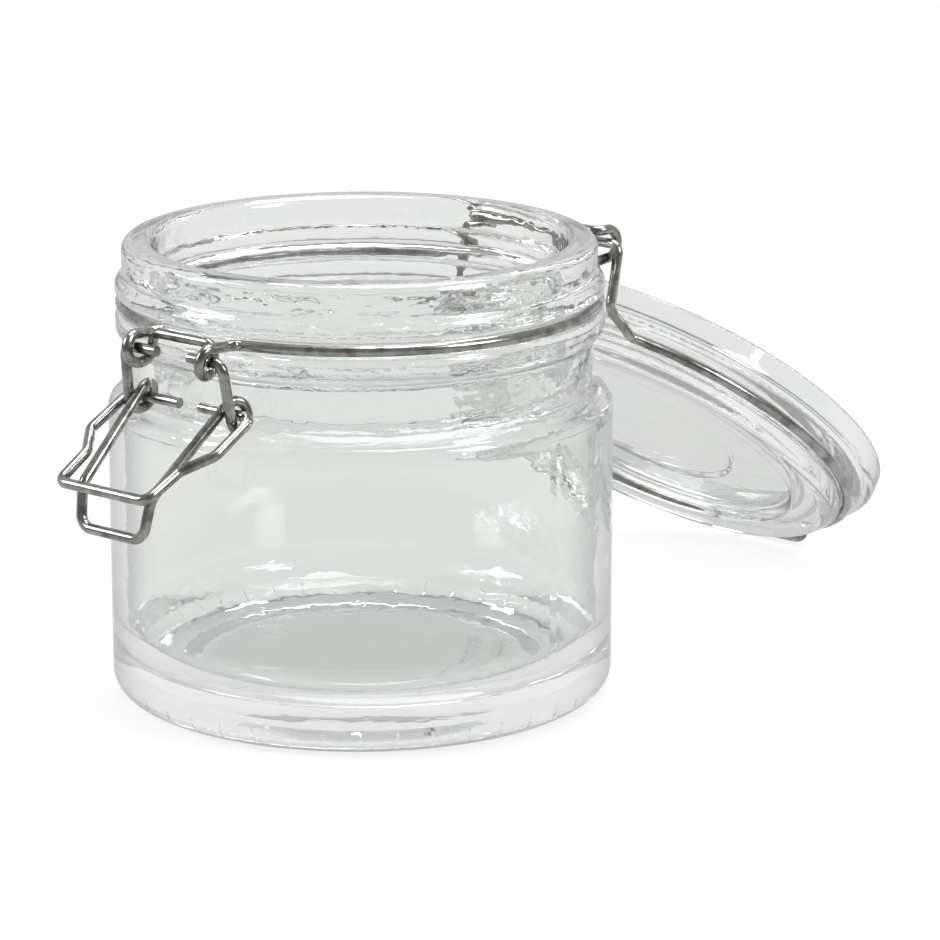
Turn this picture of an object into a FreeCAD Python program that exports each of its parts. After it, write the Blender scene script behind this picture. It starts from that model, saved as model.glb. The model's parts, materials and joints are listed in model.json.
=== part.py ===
import FreeCAD, Part
import math
import os

# Clip-top storage jar of pressed glass with a bent-wire clasp, millimetres.
# The origin is the centre of the foot, on the surface the jar stands on.
# +Z is up, the clasp is on the -Y side and the hinge is on the +Y side.
# Bends are given as stations across (x), outward from the axis (d) and up (z).

V = FreeCAD.Vector

# Jar body
RIM_HEIGHT = 96.0          # foot to the top of the rim
BODY_DIAMETER = 105.0
BODY_WALL = 3.2
FLOOR_THICKNESS = 5.5      # glass under the inner bottom, above the push-up
PUSH_UP = 2.5              # height of the hollow under the foot
FOOT_BAND = 9.0            # width of the flat ring that the jar stands on
HEEL_RADIUS = 5.0
BOWL_RADIUS = 10.0         # inner corner between wall and bottom
FINISH_HEIGHT = 33.4       # rim to the foot of the shoulder, the same on every size

# Neck and rim
NECK_DIAMETER = 96.4
NECK_WALL = 4.8
RIM_STEP = 1.0             # rim beyond the neck
RIM_WALL = 6.7             # rim to mouth
RIM_ROUNDING = 2.2
BEAD_HEIGHT = 2.5          # the two beads that hold the neck wire, beyond the neck
WIRE_DROP = 13.05          # rim down to the neck wire
GROOVE_PLAY = 0.2          # room round the neck wire in its groove

# Wire stock
WIRE_DIAMETER = 2.2
WIRE_GAP = 0.4             # between two wires that pass each other
PIN_LENGTH = 8.8           # straight pin that turns in an eye
SHARP_BEND = 2.2           # centreline radius of a tight bend

# Neck wire eyes
EYE_PLAY = 0.7             # between a pin and the eye round it
EYE_STANDOFF = 1.3         # bead to the nearest side of a front eye
EYE_STATION = 9.2          # front eyes, from the middle plane
EYE_FALL = 2.15            # neck wire down to the front eye
FRONT_LEAVE = 15.2         # azimuth where the wire leaves the groove, degrees
HINGE_STATION = 17.2       # rear eyes, from the middle plane
HINGE_STANDOFF = 4.7       # skirt of the lid to the rear eye
HINGE_DROP = 9.0           # rim down to the hinge axis
REAR_LEAVE = 25.0          # azimuth from the rear where the wire leaves the groove
BUTT_GAP = 0.3             # between the two ends of the neck wire

# Lever
LEVER_PLAY = 0.5           # between the loop's pin and the coil round it
LEVER_SEAT = 0.5           # coil to the neck when the lever hangs down
COIL_DROP = 11.2           # front eye down to the coil
COIL_FLARE = 0.9           # the coil stands this much wider than the pins
LEVER_KNEE = (9.4, 16.6, 24.6)   # station, out from the eye, below the eye
LEVER_GRIP = (8.4, 18.2, 32.9)
KNEE_RADIUS = 4.0
GRIP_RADIUS = 3.0

# Closing loop
LOOP_ANGLE = 116.4         # hanging loop, from straight up, degrees
LOOP_NECKING = (12.2, 18.6)      # where its legs step in, along the leg
LOOP_BAR_STATION = 11.9
LOOP_BAR_RADIUS = 2.2
HOOK_PLAY = 0.1            # between the loop's bar and the hook of the lid wire

# Lid
SKIRT_GAP = 0.9            # rim to the skirt round it
SKIRT_WALL = 2.2
SKIRT_OVERLAP = 5.2        # the skirt hangs this far below the rim's top
SEAL_GAP = 0.3             # rim to the face of the lid over it
LID_HEIGHT = 9.5           # rim to the top of the lid
CAP_INSET = 4.5            # ring of the lid wire to the edge of the top
CAP_RIM = 7.5              # width of the top's raised rim
RECESS_DEPTH = 2.5
CENTRE_DIAMETER = 41.0
CENTRE_DEPTH = 0.8
PLATE_THICKNESS = 3.2      # glass under the centre
PLUG_GAP = 1.3             # mouth to the plug ring
PLUG_WALL = 3.2
PLUG_DEPTH = 2.5           # plug ring below the rim's top
LID_WIRE_INSET = 4.3       # skirt to the ring of the lid wire, on its centreline
LID_WIRE_RISE = 4.3        # rim up to the lid wire
LID_WIRE_PLAY = 0.3

# Lid wire: tab at the front, arms at the rear
TAB_STATION = 9.1
TAB_LEAVE = 14.5
TAB_FALL = 0.7             # ring down to the top of the hook's legs
TAB_DROP = 3.4             # rim down to the foot of the hook's legs
TAB_REACH = 5.8            # hook's leg to the bar of the tab
TAB_RISE = 4.8
ARM_STATION = 20.2
ARM_LEAVE = 29.0
ARM_STANDOFF = 2.2         # skirt to the arm, on its centreline
ARM_FALL = 0.9             # ring down to the arm's shoulder
TABLE_GAP = 0.3            # the open lid's bar to the table

# Places that follow from the sizes
WIRE_R = WIRE_DIAMETER / 2
PASS = WIRE_DIAMETER + WIRE_GAP
BODY_R = BODY_DIAMETER / 2
NECK_R = NECK_DIAMETER / 2
RIM_R = NECK_R + RIM_STEP
MOUTH_R = RIM_R - RIM_WALL
BEAD_R = NECK_R + BEAD_HEIGHT
WIRE_Z = RIM_HEIGHT - WIRE_DROP
RING_R = NECK_R + GROOVE_PLAY + WIRE_R
EYE_R = 2 * WIRE_R + EYE_PLAY
COIL_R = 2 * WIRE_R + LEVER_PLAY
EYE_PITCH = WIRE_DIAMETER + 0.05
EYE_D = BEAD_R + EYE_STANDOFF + WIRE_R + EYE_R
EYE_Z = WIRE_Z - EYE_FALL
SKIRT_R = RIM_R + SKIRT_GAP + SKIRT_WALL
HINGE_D = SKIRT_R + HINGE_STANDOFF + WIRE_R + EYE_R
HINGE_Z = RIM_HEIGHT - HINGE_DROP
LEVER_LEG = EYE_STATION + EYE_PITCH / 2 + PASS + 0.3
COIL_OUT = LEVER_LEG + COIL_FLARE
COIL_IN = COIL_OUT - PASS + 0.1
COIL_D = (math.sqrt(NECK_R ** 2 - (COIL_IN - WIRE_R) ** 2)
          + LEVER_SEAT + WIRE_R + COIL_R)
COIL_Z = EYE_Z - COIL_DROP
LOOP_LEG = COIL_OUT + PASS
LID_RING_R = SKIRT_R - LID_WIRE_INSET
LID_RING_Z = RIM_HEIGHT + LID_WIRE_RISE
TAB_LEG_D = SKIRT_R + WIRE_GAP + WIRE_R
TAB_LOW_Z = RIM_HEIGHT - TAB_DROP
TAB_HOOK = WIRE_DIAMETER + HOOK_PLAY
CAP_R = LID_RING_R - CAP_INSET


def ring_point(radius, azimuth, z):
    """Point of a ring at an azimuth in degrees, from the front towards +X."""
    a = math.radians(azimuth)
    return V(radius * math.sin(a), -radius * math.cos(a), z)


def tangent_at(radius, azimuth, station, z):
    """Where the ring's tangent at an azimuth reaches a station across."""
    a = math.radians(azimuth)
    run = (station - radius * math.sin(a)) / math.cos(a)
    return V(station, -radius * math.cos(a) + run * math.sin(a), z)


def ring_bends(radius, start, end, z, count):
    """Corners of the tangent polygon of a ring, each with the ring's radius."""
    half = (end - start) / count / 2
    reach = radius / math.cos(math.radians(half))
    return [(ring_point(reach, start + half * (2 * i + 1), z), radius)
            for i in range(count)]


def corner(before, point, after, radius):
    """Tangent length, arc centre, axis and turn of a rounded corner."""
    u = (point - before).normalize()
    v = (after - point).normalize()
    turn = u.getAngle(v)
    if turn < 1e-7 or radius <= 0:
        return 0.0, point, V(0, 0, 1), 0.0
    axis = u.cross(v).normalize()
    return (radius * math.tan(turn / 2), axis.cross(u) * radius, axis, turn)


def fit_radii(points, radii):
    """Radii of the corners, reduced where two arcs need more than their run."""
    fitted = list(radii)
    for _ in range(4):
        length = [corner(points[i], points[i + 1], points[i + 2], fitted[i])[0]
                  for i in range(len(fitted))]
        for i in range(len(points) - 1):
            run = (points[i + 1] - points[i]).Length
            left = length[i - 1] if i > 0 else 0.0
            right = length[i] if i < len(fitted) else 0.0
            if left + right > run * (1 + 1e-9):
                share = run / (left + right)
                if i > 0:
                    fitted[i - 1] = min(fitted[i - 1], radii[i - 1] * share)
                if i < len(fitted):
                    fitted[i] = min(fitted[i], radii[i] * share)
    return fitted


def bend_wire(path):
    """Round wire along straight runs joined by tangent arcs.

    path is a list of (point, centreline radius); the ends have radius 0.
    """
    points = [p for p, r in path]
    radii = fit_radii(points, [r for p, r in path[1:-1]])
    first = (points[1] - points[0]).normalize()
    section = Part.Circle(points[0], first, WIRE_R).toShape()
    faces = [Part.Face(Part.Wire(section))]
    at = points[0]
    for i, radius in enumerate(radii):
        point = points[i + 1]
        u = (point - points[i]).normalize()
        tangent, arm, axis, turn = corner(points[i], point, points[i + 2], radius)
        run = point - u * tangent - at
        if run.dot(u) > 1e-6:
            faces.append(section.extrude(run))
            section = section.translated(run)
            at = at + run
        if turn:
            centre = at + arm
            faces.append(section.revolve(centre, axis, math.degrees(turn)))
            section = section.rotated(centre, axis, math.degrees(turn))
            v = (points[i + 2] - point).normalize()
            at = point + v * tangent
    run = points[-1] - at
    if run.Length > 1e-6:
        faces.append(section.extrude(run))
        section = section.translated(run)
    faces.append(Part.Face(Part.Wire(section)))
    shell = Part.makeShell(faces)
    shell.sewShape()
    solid = Part.Solid(shell)
    if solid.Volume < 0:
        solid = solid.reversed()
    return solid


def mirror_path(half):
    """Both halves of a wire whose right half starts next to the middle plane."""
    left = [(V(-p.x, p.y, p.z), r) for p, r in reversed(half)]
    return left + half


def turned(profile):
    """Solid of revolution about Z from (radius, height, rounding) corners."""
    points = [V(r, 0, z) for r, z, rounding in profile]
    radii = fit_radii(points, [c[2] for c in profile[1:-1]])
    edges = []
    at = points[0]
    for i, radius in enumerate(radii):
        point = points[i + 1]
        tangent, arm, axis, turn = corner(points[i], point, points[i + 2], radius)
        start = point - (point - points[i]).normalize() * tangent
        if (start - at).Length > 1e-6:
            edges.append(Part.LineSegment(at, start).toShape())
        at = start
        if turn:
            end = point + (points[i + 2] - point).normalize() * tangent
            centre = start + arm
            middle = centre + ((start + end) * 0.5 - centre).normalize() * radius
            edges.append(Part.Arc(start, middle, end).toShape())
            at = end
    edges.append(Part.LineSegment(at, points[-1]).toShape())
    edges.append(Part.LineSegment(points[-1], points[0]).toShape())
    return Part.Face(Part.Wire(edges)).revolve(V(0, 0, 0), V(0, 0, 1), 360)


def jar_glass():
    """Thick-walled jar: foot, body, shoulder, neck with two beads, rim."""
    foot = RIM_HEIGHT - FINISH_HEIGHT
    stand = BODY_R - HEEL_RADIUS - FOOT_BAND
    inner = BODY_R - BODY_WALL
    neck_in = NECK_R - NECK_WALL
    floor = PUSH_UP + FLOOR_THICKNESS
    groove = WIRE_R + GROOVE_PLAY
    outside = [
        (0, PUSH_UP, 0),
        (stand - 6.0, PUSH_UP, 8.0),
        (stand, 0, 1.2),
        (BODY_R, 0, HEEL_RADIUS),
        (BODY_R, foot, 2.9),
        (NECK_R, foot + 2.6, 2.4),
        (NECK_R, WIRE_Z - 7.75, 1.5),
        (BEAD_R, WIRE_Z - 5.95, 3.0),
        (BEAD_R, WIRE_Z - groove - 0.35, 1.6),
        (NECK_R, WIRE_Z - groove, 1.2),
        (NECK_R, WIRE_Z + groove, 1.2),
        (BEAD_R, WIRE_Z + groove + 0.35, 1.6),
        (BEAD_R, WIRE_Z + 4.65, 3.0),
        (RIM_R, WIRE_Z + 6.25, 2.0),
        (RIM_R, RIM_HEIGHT, RIM_ROUNDING),
    ]
    inside = [
        (MOUTH_R, RIM_HEIGHT, RIM_ROUNDING),
        (MOUTH_R, RIM_HEIGHT - 8.0, 12.0),
        (neck_in, RIM_HEIGHT - 18.0, 12.0),
        (neck_in, foot + 3.9, 5.0),
        (inner, foot - 1.6, 5.0),
        (inner, floor, BOWL_RADIUS),
        (0, floor, 0),
    ]
    return turned(outside + inside)


def neck_wire():
    """Wire round the neck, coiled into two front eyes and two hinge eyes."""
    top, bottom = EYE_Z + EYE_R, EYE_Z - EYE_R
    near, far = -(EYE_D - EYE_R), -(EYE_D + EYE_R)
    out, back = EYE_STATION + EYE_PITCH / 2, EYE_STATION - EYE_PITCH / 2
    rear_near, rear_far = HINGE_D - EYE_R, HINGE_D + EYE_R
    low, high = HINGE_Z - EYE_R, HINGE_Z + EYE_R
    half = [
        (V(back, near, top), SHARP_BEND),
        (V(back + 0.6, near, bottom), EYE_R),
        (V(out - 0.8, far, bottom), EYE_R),
        (V(out - 0.1, far, top), EYE_R),
        (tangent_at(RING_R, FRONT_LEAVE, out, WIRE_Z), 2.0),
    ]
    half += ring_bends(RING_R, FRONT_LEAVE, 180 - REAR_LEAVE, WIRE_Z, 3)
    half += [
        (tangent_at(RING_R, 180 - REAR_LEAVE, HINGE_STATION + 0.3, WIRE_Z), 2.5),
        (V(HINGE_STATION + 0.2, rear_far, low), EYE_R),
        (V(HINGE_STATION - 0.1, rear_far, high), EYE_R),
        (V(HINGE_STATION - 0.4, rear_near, high), SHARP_BEND),
        (V(BUTT_GAP / 2, rear_near, high), 0),
    ]
    return bend_wire(mirror_path(half))


def lever_path():
    """Right half of the lever, from its grip to the pin in the front eye."""
    grip = LEVER_GRIP
    knee = LEVER_KNEE
    return [
        (V(grip[0], -(EYE_D + grip[1]), EYE_Z - grip[2]), GRIP_RADIUS),
        (V(knee[0], -(EYE_D + knee[1]), EYE_Z - knee[2]), KNEE_RADIUS),
        (V(COIL_IN, -(COIL_D + 0.9), COIL_Z + COIL_R), COIL_R),
        (V(COIL_IN + 0.7, -(COIL_D - COIL_R), COIL_Z + COIL_R), COIL_R),
        (V(COIL_OUT - 0.6, -(COIL_D - COIL_R), COIL_Z - COIL_R), COIL_R),
        (V(COIL_OUT, -(COIL_D + COIL_R), COIL_Z - COIL_R), COIL_R),
        (V(LEVER_LEG, -EYE_D, EYE_Z), SHARP_BEND),
        (V(LEVER_LEG - PIN_LENGTH, -EYE_D, EYE_Z), 0),
    ]


def lever_wire():
    """Lever: a bail with a full coil in each leg and pins in the front eyes."""
    return bend_wire(mirror_path(lever_path()))


def hook_centre():
    """Centre of the lid wire's hook, where the loop's bar lies when latched."""
    rise = math.atan2(TAB_RISE, TAB_REACH)
    tangent = TAB_HOOK * math.tan((math.pi / 2 + rise) / 2)
    return TAB_LEG_D + TAB_HOOK, TAB_LOW_Z + tangent


def closing_loop():
    """Bail that turns in the lever's coils and closes over the lid's hook."""
    hook_d, hook_z = hook_centre()
    reach = math.hypot(hook_d - COIL_D, hook_z - COIL_Z)
    a = math.radians(LOOP_ANGLE)

    def along(station, distance):
        return V(station, -(COIL_D + distance * math.sin(a)),
                 COIL_Z + distance * math.cos(a))

    start, end = LOOP_NECKING
    half = [
        (along(LOOP_BAR_STATION, reach), LOOP_BAR_RADIUS),
        (along(LOOP_BAR_STATION + 0.7, end), 3.0),
        (along(LOOP_LEG + 0.4, start), 3.0),
        (along(LOOP_LEG, 0), SHARP_BEND),
        (along(LOOP_LEG - PIN_LENGTH - 5.0, 0), 0),
    ]
    return bend_wire(mirror_path(half))


def lid_glass():
    """Pressed lid, closed position: domed cap with a skirt and a plug ring."""
    top = RIM_HEIGHT + LID_HEIGHT
    recess = top - RECESS_DEPTH
    centre = recess - CENTRE_DEPTH
    seat = LID_RING_R - WIRE_R - LID_WIRE_PLAY
    face = RIM_HEIGHT + SEAL_GAP
    skirt_in = RIM_R + SKIRT_GAP
    hem = RIM_HEIGHT - SKIRT_OVERLAP
    plug = MOUTH_R - PLUG_GAP
    return turned([
        (0, centre, 0),
        (CENTRE_DIAMETER / 2 - 0.4, centre, 0.5),
        (CENTRE_DIAMETER / 2 + 0.4, recess, 0.5),
        (CAP_R - CAP_RIM - 0.8, recess, 1.0),
        (CAP_R - CAP_RIM + 0.4, top, 1.0),
        (CAP_R + 1.2, top, 3.0),
        (seat + 0.6, LID_RING_Z + 2.0, 1.0),
        (seat, LID_RING_Z + 1.0, 0.8),
        (seat, LID_RING_Z - WIRE_R - 0.5, 1.2),
        (SKIRT_R, LID_RING_Z - 3.3, 3.4),
        (SKIRT_R, hem, 1.0),
        (skirt_in, hem, 0.7),
        (skirt_in, face, 0.8),
        (plug + 0.4, face, 0.5),
        (plug, RIM_HEIGHT - PLUG_DEPTH, 1.0),
        (plug - PLUG_WALL, RIM_HEIGHT - PLUG_DEPTH, 1.0),
        (plug - PLUG_WALL - 1.2, centre - PLATE_THICKNESS, 2.0),
        (0, centre - PLATE_THICKNESS, 0),
    ])


def lid_wire():
    """Wire round the lid, closed position: hooked tab, ring, hinge arms."""
    half = [
        (V(TAB_STATION, -(TAB_LEG_D + TAB_REACH), TAB_LOW_Z + TAB_RISE), 2.5),
        (V(TAB_STATION, -TAB_LEG_D, TAB_LOW_Z), TAB_HOOK),
        (V(TAB_STATION, -TAB_LEG_D, LID_RING_Z - TAB_FALL), 2.0),
        (tangent_at(LID_RING_R, TAB_LEAVE, TAB_STATION, LID_RING_Z), 2.0),
    ]
    half += ring_bends(LID_RING_R, TAB_LEAVE, 180 - ARM_LEAVE, LID_RING_Z, 3)
    half += [
        (tangent_at(LID_RING_R, 180 - ARM_LEAVE, ARM_STATION, LID_RING_Z), 2.5),
        (V(ARM_STATION, SKIRT_R + ARM_STANDOFF, LID_RING_Z - ARM_FALL), 3.0),
        (V(ARM_STATION, HINGE_D, HINGE_Z), SHARP_BEND),
        (V(ARM_STATION - PIN_LENGTH, HINGE_D, HINGE_Z), 0),
    ]
    return bend_wire(mirror_path(half))


def open_angle():
    """Turn of the open lid: its bar meets the table or its top the shoulder."""
    bar_y = HINGE_D + TAB_LEG_D + TAB_REACH
    bar_z = TAB_LOW_Z + TAB_RISE - HINGE_Z
    drop = HINGE_Z - WIRE_R - TABLE_GAP
    length = math.hypot(bar_y, bar_z)
    table = 2 * math.pi
    if drop < length:
        table = math.atan2(bar_y, bar_z) + math.acos(-drop / length)
    edge_y = BODY_R - HINGE_D
    edge_z = RIM_HEIGHT - FINISH_HEIGHT - HINGE_Z
    top = RIM_HEIGHT + LID_HEIGHT - HINGE_Z + WIRE_GAP
    edge = math.hypot(edge_y, edge_z)
    shoulder = math.atan2(edge_y, edge_z) % (2 * math.pi)
    if top < edge:
        shoulder += math.acos(top / edge)
    return math.degrees(min(table, shoulder))


def opened(shape, angle):
    """Turns a piece of the lid from closed to open about the hinge pins."""
    return shape.rotated(V(0, HINGE_D, HINGE_Z), V(1, 0, 0), -angle)


def main():
    """Builds the six pieces and writes one STEP file for each."""
    angle = open_angle()
    pieces = {
        "jar_glass": jar_glass(),
        "neck_wire": neck_wire(),
        "lever_wire": lever_wire(),
        "closing_loop": closing_loop(),
        "lid_glass": opened(lid_glass(), angle),
        "lid_wire": opened(lid_wire(), angle),
    }
    os.makedirs("parts", exist_ok=True)
    for name, shape in pieces.items():
        shape.exportStep("parts/" + name + ".step")
        box = shape.BoundBox
        print("%-13s %s volume %.1f  x %.1f..%.1f y %.1f..%.1f z %.1f..%.1f" % (
            name, "valid" if shape.isValid() else "NOT VALID", shape.Volume,
            box.XMin, box.XMax, box.YMin, box.YMax, box.ZMin, box.ZMax))
    hook_d, hook_z = hook_centre()
    closed = math.degrees(math.atan2(hook_d - COIL_D, hook_z - COIL_Z))
    print("hinge y %.3f z %.3f, lid opens %.3f deg" % (HINGE_D, HINGE_Z, angle))
    print("lever axis d %.3f z %.3f" % (EYE_D, EYE_Z))
    print("loop axis d %.3f z %.3f, latched at %.3f deg" % (
        COIL_D, COIL_Z, LOOP_ANGLE - closed))


main()
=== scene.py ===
"""Looks for a clip-top glass jar with a bent-wire clasp, standing open."""

from __future__ import annotations

import json
import logging
import math
from dataclasses import dataclass, field
from enum import Enum
from typing import Any

import bpy
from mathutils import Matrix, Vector

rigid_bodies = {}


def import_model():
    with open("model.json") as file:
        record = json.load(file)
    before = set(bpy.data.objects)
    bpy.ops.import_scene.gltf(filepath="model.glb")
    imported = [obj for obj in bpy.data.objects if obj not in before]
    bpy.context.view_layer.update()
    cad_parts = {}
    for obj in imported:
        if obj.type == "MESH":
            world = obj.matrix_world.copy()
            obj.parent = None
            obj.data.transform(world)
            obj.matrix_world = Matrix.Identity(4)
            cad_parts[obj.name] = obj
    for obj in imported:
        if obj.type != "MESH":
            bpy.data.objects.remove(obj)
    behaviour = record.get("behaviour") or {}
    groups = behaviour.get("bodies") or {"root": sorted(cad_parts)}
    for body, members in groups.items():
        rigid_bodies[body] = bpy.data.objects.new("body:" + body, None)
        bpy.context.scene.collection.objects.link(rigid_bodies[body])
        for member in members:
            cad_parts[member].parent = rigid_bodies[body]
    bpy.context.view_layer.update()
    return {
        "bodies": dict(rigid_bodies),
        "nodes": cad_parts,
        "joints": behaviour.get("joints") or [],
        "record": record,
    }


LOG = logging.getLogger("clip_top_jar")

Colour = tuple[float, float, float, float]
Point = tuple[float, float, float]
Span = tuple[float, float]


class Ray(Enum):
    """Kinds of light path that see the studio in their own way."""

    CAMERA = "Is Camera Ray"
    MIRROR = "Is Glossy Ray"
    THROUGH = "Is Transmission Ray"
    MIRROR_TURNS = "Glossy Depth"


def grey(value: float) -> Colour:
    """Neutral colour of one brightness."""
    return (value, value, value, 1.0)


class Signal:
    """A shader socket that takes part in Python expressions."""

    def __init__(self, graph: "Graph", socket: Any) -> None:
        """Keeps the graph that the socket belongs to."""
        self.graph = graph
        self.socket = socket

    def _math(self, operation: str, *values: Any) -> "Signal":
        """Adds one Math node."""
        return self.graph.node("ShaderNodeMath", {"operation": operation}, list(values))

    def __add__(self, other: Any) -> "Signal":
        """Sum."""
        return self._math("ADD", self, other)

    __radd__ = __add__

    def __mul__(self, other: Any) -> "Signal":
        """Product."""
        return self._math("MULTIPLY", self, other)

    __rmul__ = __mul__

    def __sub__(self, other: Any) -> "Signal":
        """Difference."""
        return self._math("SUBTRACT", self, other)

    def __rsub__(self, other: Any) -> "Signal":
        """Difference, with the number first."""
        return self._math("SUBTRACT", other, self)

    def __pow__(self, other: Any) -> "Signal":
        """Power."""
        return self._math("POWER", self, other)

    def sine(self) -> "Signal":
        """Sine of an angle in radians."""
        return self._math("SINE", self)

    def absolute(self) -> "Signal":
        """Value without its sign."""
        return self._math("ABSOLUTE", self)

    def highest(self, other: Any) -> "Signal":
        """The larger of two values."""
        return self._math("MAXIMUM", self, other)

    def ramp(self, low: float, high: float) -> "Signal":
        """Smooth step from 0 at low to 1 at high.

        Args:
            low: Value where the step starts.
            high: Value where the step ends.

        Returns:
            The step as a signal between 0 and 1.
        """
        return self.graph.node(
            "ShaderNodeMapRange",
            {"interpolation_type": "SMOOTHSTEP"},
            {"Value": self, "From Min": low, "From Max": high},
        )


class Graph:
    """The node tree of one material or world, built by expressions."""

    def __init__(self, tree: bpy.types.NodeTree) -> None:
        """Empties the tree."""
        self.tree = tree
        tree.nodes.clear()

    def node(
        self,
        kind: str,
        settings: dict[str, Any] | None = None,
        inputs: dict[str, Any] | list[Any] | None = None,
        output: int | str = 0,
    ) -> Signal:
        """Adds a node.

        Args:
            kind: Type name of the node.
            settings: Properties that are set before the sockets.
            inputs: Values or signals, by socket name or in socket order.
            output: Which output is returned.

        Returns:
            The chosen output as a signal.
        """
        made = self.tree.nodes.new(kind)
        for name, value in (settings or {}).items():
            setattr(made, name, value)
        pairs = inputs.items() if isinstance(inputs, dict) else enumerate(inputs or [])
        for key, value in pairs:
            self.feed(made.inputs[key], value)
        return Signal(self, made.outputs[output])

    def feed(self, socket: Any, value: Any) -> None:
        """Links a signal to a socket or sets its value."""
        if isinstance(value, Signal):
            self.tree.links.new(value.socket, socket)
        else:
            socket.default_value = value

    def mix(self, factor: Any, first: Any, second: Any) -> Signal:
        """Mixes two colours.

        Args:
            factor: Share of the second colour.
            first: Colour or signal.
            second: Colour or signal.

        Returns:
            The mixed colour.
        """
        made = self.tree.nodes.new("ShaderNodeMix")
        made.data_type = "RGBA"
        made.blend_type = "MIX"
        sockets = [s for s in made.inputs if s.enabled]
        for socket, value in zip(sockets, (factor, first, second)):
            self.feed(socket, value)
        return Signal(self, next(s for s in made.outputs if s.enabled))

    def place(self, kind: str = "Object") -> Signal:
        """Texture coordinates of one kind."""
        return self.node("ShaderNodeTexCoord", output=kind)

    def position(self, kind: str = "Object") -> tuple[Signal, Signal, Signal]:
        """Texture coordinates of one kind as three signals."""
        split = self.tree.nodes.new("ShaderNodeSeparateXYZ")
        self.feed(split.inputs[0], self.place(kind))
        x, y, z = (Signal(self, socket) for socket in split.outputs)
        return x, y, z

    def ray(self, kind: Ray) -> Signal:
        """One fact about the light path."""
        return self.node("ShaderNodeLightPath", output=kind.value)

    def noise(self, place: Signal, scale: float, detail: float, rough: float) -> Signal:
        """Noise between 0 and 1.

        Args:
            place: Coordinates.
            scale: Cells in one metre.
            detail: Octaves.
            rough: Weight of the finer octaves.

        Returns:
            The noise value.
        """
        return self.node(
            "ShaderNodeTexNoise",
            inputs={"Vector": place, "Scale": scale, "Detail": detail, "Roughness": rough},
        )

    def emission(self, colour: Any) -> Signal:
        """Emission of a colour at strength 1."""
        return self.node("ShaderNodeEmission", inputs={"Color": colour, "Strength": 1.0})

    def bump(self, height: Signal, strength: float, distance: float) -> Signal:
        """Normal bent by a height in units of distance."""
        return self.node(
            "ShaderNodeBump",
            inputs={"Strength": strength, "Distance": distance, "Height": height},
        )

    def output(self, shader: Signal, kind: str = "ShaderNodeOutputMaterial") -> None:
        """Ends the tree in its output node."""
        made = self.tree.nodes.new(kind)
        self.tree.links.new(shader.socket, made.inputs[0])


def new_material(name: str) -> tuple[bpy.types.Material, Graph]:
    """Adds an empty node material.

    Args:
        name: Name of the material.

    Returns:
        The material and its graph.
    """
    material = bpy.data.materials.new(name)
    material.use_nodes = True
    return material, Graph(material.node_tree)


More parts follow.
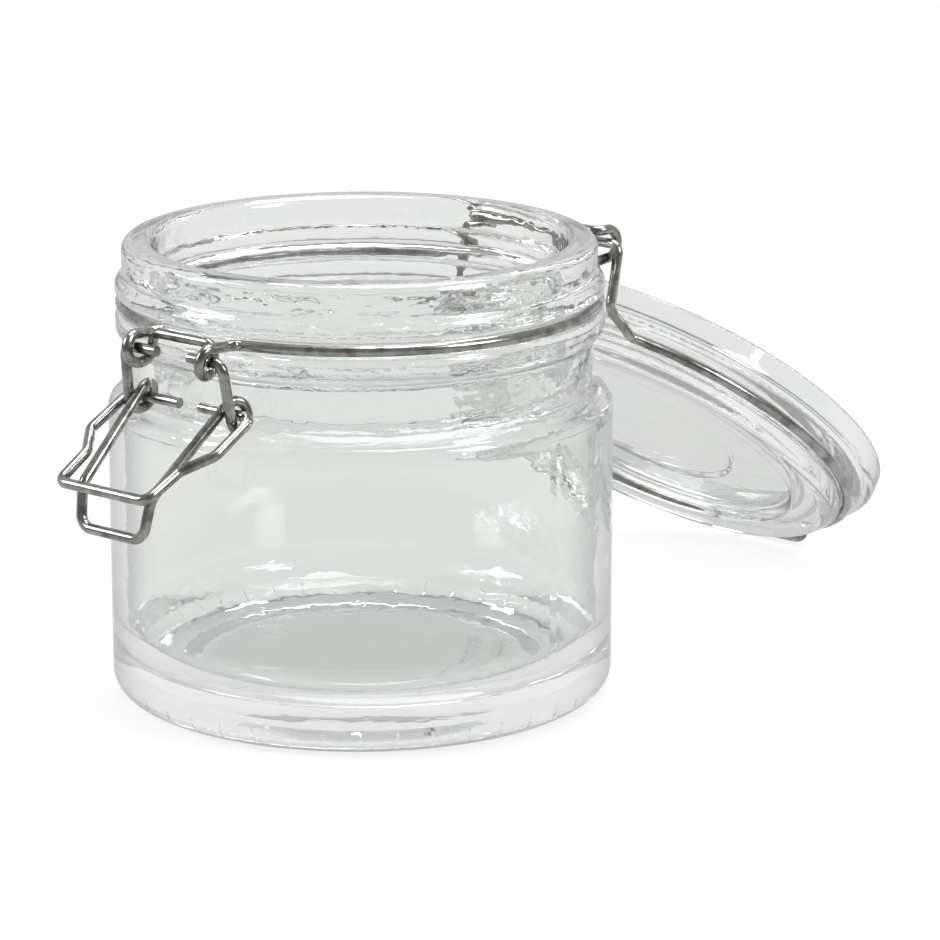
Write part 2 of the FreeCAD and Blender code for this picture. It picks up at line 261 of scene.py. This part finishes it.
@dataclass(frozen=True)
class PressedGlass:
    """Clear soda glass from a mould: faint waves, a mottled neck, and edges darkened by
    painted shade.

    Relief is in units of depth, and heights and radii are in metres.
    """

    name: str
    tint: Colour = (0.925, 0.945, 0.93, 1.0)
    # Painted shade: dark colour mixed into the glass where it is met edge-on and along the
    # foot.
    painted_edge_shade: Colour = (0.045, 0.06, 0.052, 1.0)
    edge_shade_start: float = 0.42
    edge_shade_power: float = 1.3
    ior: float = 1.5
    depth: float = 0.001
    wave: float = 0.42
    wave_scale: float = 34.0
    wave_stretch: Point = (1.0, 1.0, 0.4)
    wave_least: float = 0.5
    wave_gain: float = 1.2
    wave_side: Span = (0.005, 0.04)
    wave_rise: Span = (0.004, 0.03)
    mottle: float = 0.05
    mottle_scale: float = 120.0
    mottle_stretch: Point = (1.0, 1.0, 1.9)
    neck_mottle: float = 0.34
    neck_start: Span = (0.058, 0.068)
    heel_marks: int = 0
    heel_relief: float = 0.15
    heel_share: float = 0.15
    heel_radius: Span = (0.0472, 0.0482)
    heel_top: Span = (0.0040, 0.0052)
    # Painted shade: strength of a dark band along the bottom of the outer glass.
    painted_foot_shade: float = 0.0
    foot_shade_top: Span = (0.0008, 0.0028)
    turns_kept: float = 1.5
    turns_freed: float = 1.0

    def build(self) -> bpy.types.Material:
        """Makes the material."""
        material, graph = new_material(self.name)
        material.use_transparent_shadow = False
        normal = graph.bump(self._height(graph), 1.0, self.depth)
        inside = graph.node("ShaderNodeNewGeometry", output="Backfacing")
        edge_shade = self._painted_edge_shade(graph, normal, 1.0 - inside)
        shader = graph.node(
            "ShaderNodeBsdfPrincipled",
            inputs={
                # Base Color carries painted shade at grazing edges and along the foot.
                "Base Color": graph.mix(edge_shade, self.tint, self.painted_edge_shade),
                "Roughness": 0.0,
                "IOR": self.ior,
                "Transmission Weight": 1.0,
                "Normal": normal,
                "Alpha": 1.0 - self._spent(graph, inside),
            },
        )
        graph.output(shader)
        return material

    def _painted_edge_shade(self, graph: Graph, normal: Signal, outside: Signal) -> Signal:
        """Mask of the painted shade: dark outlines where the glass is met edge-on, and a dark
        line along the foot.

        Args:
            graph: Graph of the material.
            normal: The bent normal.
            outside: Mask of surfaces met from the air.

        Returns:
            The share of the painted shade colour.
        """
        facing = graph.node(
            "ShaderNodeLayerWeight", inputs={"Blend": 0.5, "Normal": normal}, output="Facing"
        )
        # Painted shade: darker the more edge-on the surface is met from the air.
        edge_shade = facing.ramp(self.edge_shade_start, 1.0) ** self.edge_shade_power * outside
        if self.painted_foot_shade:
            height = graph.position()[2]
            # Painted shade: dark band over the lowest few millimetres of the outer glass.
            foot_shade = (1.0 - height.ramp(*self.foot_shade_top)) * outside * self.painted_foot_shade
            edge_shade = edge_shade.highest(foot_shade)
        return edge_shade

    def _spent(self, graph: Graph, inside: Signal) -> Signal:
        """Mask of light that has been reflected inside the glass often enough to leave.

        Args:
            graph: Graph of the material.
            inside: Mask of surfaces met from inside the glass.

        Returns:
            The mask, 1 where the light goes straight out.
        """
        turned = graph.ray(Ray.MIRROR_TURNS).ramp(self.turns_kept, self.turns_kept + 0.1)
        return turned * inside * self.turns_freed

    def _height(self, graph: Graph) -> Signal:
        """Height of the surface over the mould's shape."""
        x, y, z = graph.position()
        side = self.wave_least + x.ramp(*self.wave_side) * self.wave_gain
        swell = self.wave * side * z.ramp(*self.wave_rise)
        drawn = self._stretched(graph, self.wave_stretch)
        height = graph.noise(drawn, self.wave_scale, 1.0, 0.45) * swell
        cold = self.mottle + z.ramp(*self.neck_start) * self.neck_mottle
        pressed = self._stretched(graph, self.mottle_stretch)
        height = height + graph.noise(pressed, self.mottle_scale, 2.0, 0.5) * cold
        if self.heel_marks:
            height = height + self._heel(graph, x, y, z)
        return height

    def _stretched(self, graph: Graph, scale: Point) -> Signal:
        """Object coordinates scaled along each axis."""
        return graph.node(
            "ShaderNodeMapping", inputs={"Vector": graph.place(), "Scale": scale}
        )

    def _heel(self, graph: Graph, x: Signal, y: Signal, z: Signal) -> Signal:
        """Short grip marks round the outer heel.

        Args:
            graph: Graph of the material.
            x: Place across.
            y: Place along.
            z: Place up.

        Returns:
            The height of the marks.
        """
        angle = graph.node("ShaderNodeMath", {"operation": "ARCTAN2"}, [y, x])
        beat = (angle * (self.heel_marks / 2.0)).sine().absolute()
        mark = 1.0 - beat.ramp(0.0, self.heel_share)
        inner, outer = self.heel_radius
        rim = (x * x + y * y).ramp(inner**2, outer**2)
        low = 1.0 - z.ramp(*self.heel_top)
        return mark * rim * low * self.heel_relief


@dataclass(frozen=True)
class DrawnSteel:
    """Bright drawn wire with darker clouds and fine scratches."""

    name: str = "drawn_steel"
    colour: Colour = (0.40, 0.395, 0.38, 1.0)
    shade: Colour = (0.17, 0.165, 0.155, 1.0)
    cloud_scale: float = 260.0
    cloud_span: Span = (0.35, 0.7)
    roughness: float = 0.2
    roughness_swing: float = 0.18
    scratch_scale: float = 2600.0
    scratch_strength: float = 0.25
    scratch_depth: float = 0.00006

    def build(self) -> bpy.types.Material:
        """Makes the material."""
        material, graph = new_material(self.name)
        cloud = graph.noise(graph.place(), self.cloud_scale, 4.0, 0.6)
        fine = graph.noise(graph.place(), self.scratch_scale, 3.0, 0.6)
        colour = graph.mix(cloud.ramp(*self.cloud_span), self.colour, self.shade)
        shader = graph.node(
            "ShaderNodeBsdfPrincipled",
            inputs={
                "Base Color": colour,
                "Metallic": 1.0,
                "Roughness": self.roughness + (cloud - 0.5) * self.roughness_swing,
                "Normal": graph.bump(fine, self.scratch_strength, self.scratch_depth),
            },
        )
        graph.output(shader)
        return material


@dataclass
class GlassPieces:
    """The jar and its lid."""

    nodes: tuple[str, ...] = ("jar_glass", "lid_glass")

    def dress(self, frame: dict[str, Any]) -> None:
        """Gives both glass pieces their finish."""
        finishes = {
            # The jar gets the painted shade band along its foot.
            "jar_glass": PressedGlass("jar_clear_glass", heel_marks=44, painted_foot_shade=0.8),
            "lid_glass": PressedGlass(
                "lid_clear_glass", wave=0.24, neck_mottle=0.0, turns_freed=0.15
            ),
        }
        for name in self.nodes:
            for slot in frame["nodes"][name].material_slots:
                slot.material = finishes[name].build()
            LOG.info("dressed %s", name)


@dataclass
class WirePieces:
    """The four bent wires."""

    nodes: tuple[str, ...] = ("neck_wire", "lever_wire", "closing_loop", "lid_wire")

    def dress(self, frame: dict[str, Any]) -> None:
        """Gives the wires one drawn-steel finish."""
        steel = DrawnSteel().build()
        for name in self.nodes:
            for slot in frame["nodes"][name].material_slots:
                slot.material = steel
            LOG.info("dressed %s", name)


@dataclass
class Softbox:
    """A rectangular studio lamp."""

    name: str
    place: Point
    width: float
    height: float
    power: float
    target: Point = (0.0, 0.0, 0.05)

    def build(self) -> None:
        """Adds the lamp, turned towards its target."""
        lamp = bpy.data.lights.new(self.name, "AREA")
        lamp.shape = "RECTANGLE"
        lamp.size = self.width
        lamp.size_y = self.height
        lamp.energy = self.power
        holder = bpy.data.objects.new(self.name, lamp)
        aim = Vector(self.target) - Vector(self.place)
        holder.location = self.place
        holder.rotation_euler = aim.to_track_quat("-Z", "Y").to_euler()
        bpy.context.scene.collection.objects.link(holder)


@dataclass
class Studio:
    """Pale floor, light tent and camera."""

    floor_size: float = 12.0
    floor_drop: float = 0.0002
    floor_matt: Colour = grey(0.9)
    floor_glow: float = 0.8
    glass_glow: float = 0.93
    floor_through: Colour = (0.83, 0.83, 0.825, 1.0)
    floor_front: Colour = grey(0.64)
    floor_aside: Colour = grey(0.30)
    front_turn: Span = (-0.15, 0.05)
    bright_reach: float = 0.6
    dark_reach: float = 1.5
    tent_aside: Colour = grey(0.32)
    tent_low: Colour = grey(0.80)
    tent_high: Colour = grey(0.62)
    tent_rise: Span = (0.05, 0.6)
    tent_turn: Span = (-0.3, 0.6)
    camera_place: Point = (0.5959, -0.6748, 0.2816)
    camera_pitch: float = -14.67
    camera_turn: float = 40.0
    lens: float = 170.4
    sensor: float = 36.0
    lamps: list[Softbox] = field(
        default_factory=lambda: [
            Softbox("left_softbox", (-0.9, -0.9, 0.9), 0.5, 0.7, 14.0),
            Softbox("right_softbox", (1.1, 0.2, 0.9), 0.4, 0.6, 10.0),
            Softbox("top_softbox", (0.0, 0.3, 1.4), 0.9, 0.9, 16.0),
        ]
    )

    def build(self) -> None:
        """Adds everything round the object."""
        self._floor()
        self._world()
        for lamp in self.lamps:
            lamp.build()
        self._camera()
        view = bpy.context.scene.view_settings
        view.view_transform = "Standard"

    def _behind(self, x: Signal, y: Signal, span: Span) -> Signal:
        """Smooth mask of what lies behind the object in the main view.

        Args:
            x: Place or direction across.
            y: Place or direction along.
            span: Reach towards the back where the mask starts and where it is full.

        Returns:
            The mask.
        """
        turn = math.radians(self.camera_turn)
        return (y * math.cos(turn) - x * math.sin(turn)).ramp(*span)

    def _floor(self) -> None:
        """Adds a white floor with a soft shadow, greyer as glass and mirrors see it."""
        bpy.ops.object.select_all(action="DESELECT")
        bpy.ops.mesh.primitive_plane_add(
            size=self.floor_size, location=(0, 0, -self.floor_drop)
        )
        floor = bpy.context.object
        floor.name = "studio_floor"
        material, graph = new_material("pale_floor")
        matt = graph.node("ShaderNodeBsdfDiffuse", inputs={"Color": self.floor_matt})
        white = graph.emission(grey(1.0))
        dim = graph.emission(self._floor_tone(graph))
        seen = graph.ray(Ray.CAMERA) * self.floor_glow
        glass = graph.ray(Ray.MIRROR).highest(graph.ray(Ray.THROUGH)) * self.glass_glow
        shader = graph.node("ShaderNodeMixShader", inputs=[seen, matt, white])
        shader = graph.node("ShaderNodeMixShader", inputs=[glass, shader, dim])
        graph.output(shader)
        floor.data.materials.append(material)

    def _floor_tone(self, graph: Graph) -> Signal:
        """Floor as glass sees it: bright behind, greyer in front, dark far off."""
        x, y, _ = graph.position()
        behind = self._behind(x, y, self.front_turn)
        near = graph.mix(behind, self.floor_front, self.floor_through)
        far = (x * x + y * y).ramp(self.bright_reach**2, self.dark_reach**2)
        return graph.mix(far, near, self.floor_aside)

    def _world(self) -> None:
        """Adds a light tent, darker towards its top and in front of the object."""
        world = bpy.data.worlds.new("light_tent")
        bpy.context.scene.world = world
        world.use_nodes = True
        graph = Graph(world.node_tree)
        x, y, up = graph.position("Generated")
        tent = graph.mix(up.ramp(*self.tent_rise), self.tent_low, self.tent_high)
        tent = graph.mix(self._behind(x, y, self.tent_turn), self.tent_aside, tent)
        colour = graph.mix(graph.ray(Ray.CAMERA), tent, grey(1.0))
        shader = graph.node("ShaderNodeBackground", inputs={"Color": colour, "Strength": 1.0})
        graph.output(shader, "ShaderNodeOutputWorld")

    def _camera(self) -> None:
        """Adds the camera."""
        data = bpy.data.cameras.new("studio_camera")
        data.lens = self.lens
        data.sensor_width = self.sensor
        camera = bpy.data.objects.new("studio_camera", data)
        camera.location = self.camera_place
        camera.rotation_euler = (
            math.radians(90.0 + self.camera_pitch),
            0.0,
            math.radians(self.camera_turn),
        )
        bpy.context.scene.collection.objects.link(camera)
        bpy.context.scene.camera = camera


def main() -> None:
    """Builds the looks in order."""
    logging.basicConfig(level=logging.INFO)
    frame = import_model()
    GlassPieces().dress(frame)
    WirePieces().dress(frame)
    Studio().build()


if __name__ == "__main__":
    main()
